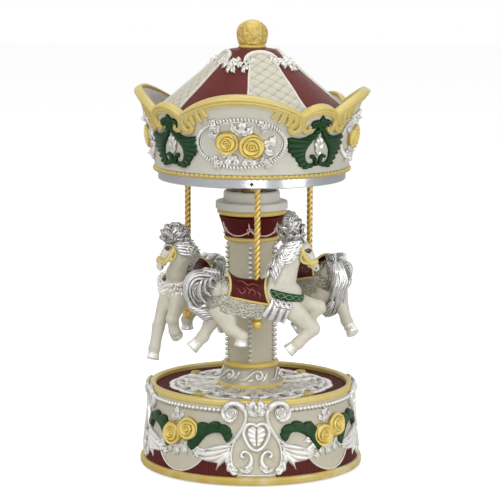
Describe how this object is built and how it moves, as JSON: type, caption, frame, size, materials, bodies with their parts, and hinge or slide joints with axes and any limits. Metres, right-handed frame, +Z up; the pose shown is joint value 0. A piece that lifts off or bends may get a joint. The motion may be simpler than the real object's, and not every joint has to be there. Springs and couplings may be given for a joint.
{
  "type": "wind up music box",
  "caption": "Wind-up music box as a carousel: round base with key and comb movement, column, turning canopy and horses that rise and fall on poles.",
  "frame": {"origin": "centre of the underside, on the table surface under the column's axis", "axes": "+Z up along the column, -Y towards the front, +X to the front view's right"},
  "size_m": [0.1054, 0.1054, 0.1996],
  "materials": {
    "cream_resin": "painted cast resin, satin",
    "stone_resin": "painted cast resin, satin",
    "gold_paint": "pearly gold paint on resin",
    "silver_paint": "silver paint on resin",
    "burgundy_paint": "satin paint on resin",
    "green_paint": "satin paint on resin",
    "cover_plastic": "black moulded cover",
    "rubber": "black rubber",
    "chrome_floor": "bright plated",
    "brass": "machined",
    "steel": "bright",
    "horse_resin": "painted cast resin, satin",
    "saddle_paint": "satin paint on resin",
    "mane_silver": "silver paint on resin",
    "pole_gold": "polished"
  },
  "bodies": {
    "base": {"base_shell": "cream_resin", "base_foot_band": "gold_paint", "deck_rim": "gold_paint", "deck_inlay": "burgundy_paint", "deck_acanthus": "silver_paint", "base_bead_string": "silver_paint", "base_scrollwork": "silver_paint", "base_lower_panels": "burgundy_paint", "base_roses": "gold_paint", "base_leaves": "green_paint", "bottom_cover": "cover_plastic", "screws": "steel", "rubber_feet": "rubber", "column_tube": "brass", "column_foot": "cream_resin", "column_rings": "gold_paint", "column_shaft": "stone_resin", "column_beads": "silver_paint", "capital": "burgundy_paint", "capital_swags": "silver_paint", "column_collar": "stone_resin", "shaft_bearings": "brass", "cam_ring": "brass", "movement_bedplate": "steel", "movement_brackets": "brass", "click_spring": "steel", "comb": "steel"},
    "canopy": {"canopy_floor": "chrome_floor", "crown_bead_ring": "gold_paint", "crown_shell": "cream_resin", "crown_edging": "gold_paint", "crown_leaves": "green_paint", "crown_roses": "gold_paint", "crown_medallions": "silver_paint", "roof_burgundy": "burgundy_paint", "roof_lattice": "cream_resin", "roof_ornaments": "silver_paint", "finial": "gold_paint", "canopy_hub": "brass", "drive_shaft": "steel", "spring_housing": "brass", "mainspring": "steel", "great_wheel": "brass"},
    "winding": {"winding_key": "steel", "winding_arbor": "steel"},
    "cylinder": {"pinned_cylinder": "brass"},
    "governor_wheel": {"governor_wheel": "brass"},
    "governor_fly": {"governor_fly": "steel"},
    "rider_1": {"horse_1": "horse_resin", "saddle_1": "saddle_paint", "mane_1": "mane_silver", "pole_1": "pole_gold"},
    "rider_2": {"horse_2": "horse_resin", "saddle_2": "saddle_paint", "mane_2": "mane_silver", "pole_2": "pole_gold"},
    "rider_3": {"horse_3": "horse_resin", "saddle_3": "saddle_paint", "mane_3": "mane_silver", "pole_3": "pole_gold"}
  },
  "joints": [
    {"name": "canopy_spin", "type": "hinge", "parent": "base", "child": "canopy", "pos_m": [0, 0, 0.129], "axis": [0, 0, 1], "continuous": true},
    {"name": "key_wind", "type": "hinge", "parent": "base", "child": "winding", "pos_m": [0, 0, 0.014], "axis": [0, 0, 1], "range_deg": [0, 1440]},
    {"name": "cylinder_spin", "type": "hinge", "parent": "base", "child": "cylinder", "pos_m": [0.0163, 0, 0.01936], "axis": [1, 0, 0], "continuous": true},
    {"name": "governor_wheel_spin", "type": "hinge", "parent": "base", "child": "governor_wheel", "pos_m": [0, 0.0174, 0.0155], "axis": [0, 0, 1], "continuous": true},
    {"name": "governor_fly_spin", "type": "hinge", "parent": "base", "child": "governor_fly", "pos_m": [0, 0.024, 0.021], "axis": [1, 0, 0], "continuous": true},
    {"name": "rider_1_rise", "type": "slide", "parent": "canopy", "child": "rider_1", "axis": [0, 0, 1], "range_m": [-0.00349, 0.0025]},
    {"name": "rider_2_rise", "type": "slide", "parent": "canopy", "child": "rider_2", "axis": [0, 0, 1], "range_m": [-0.00019, 0.00581]},
    {"name": "rider_3_rise", "type": "slide", "parent": "canopy", "child": "rider_3", "axis": [0, 0, 1], "range_m": [-0.00532, 0.00068]}
  ],
  "couplings": [
    {"joint": "cylinder_spin", "follows": "canopy_spin", "ratio": -3},
    {"joint": "governor_wheel_spin", "follows": "canopy_spin", "ratio": -4},
    {"joint": "governor_fly_spin", "follows": "canopy_spin", "ratio": 48}
  ]
}
